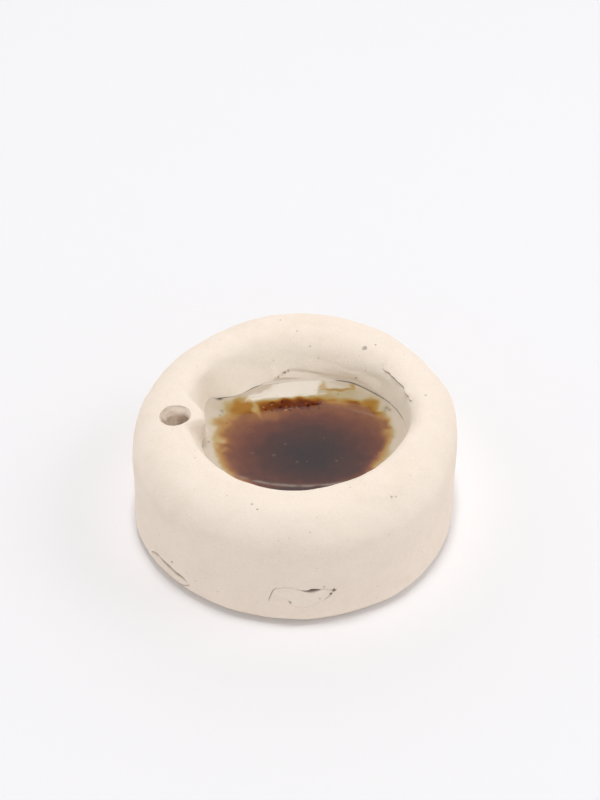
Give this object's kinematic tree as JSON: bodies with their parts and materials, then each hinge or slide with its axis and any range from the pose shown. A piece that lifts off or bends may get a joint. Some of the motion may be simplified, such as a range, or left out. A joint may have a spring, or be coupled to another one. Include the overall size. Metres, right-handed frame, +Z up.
{
  "type": "incense stick holder",
  "caption": "Low round stoneware incense stick holder: a thick rounded rim round a glaze-filled dish, with a blind hole in the rim that holds the stick upright.",
  "frame": {"origin": "middle of the flat foot that the holder stands on", "axes": "+Z up out of the dish, the stick hole towards -X, the front with the larger clay scrap towards -Y"},
  "size_m": [0.0538, 0.0562, 0.021],
  "materials": {
    "stoneware": "unglazed, matte",
    "celadon": "glossy",
    "amber": "glossy"
  },
  "bodies": {
    "root": {"clay_body": "stoneware", "front_clay_scrap": "stoneware", "left_clay_strip": "stoneware", "celadon_glaze": "celadon", "amber_glaze": "amber"}
  },
  "joints": []
}
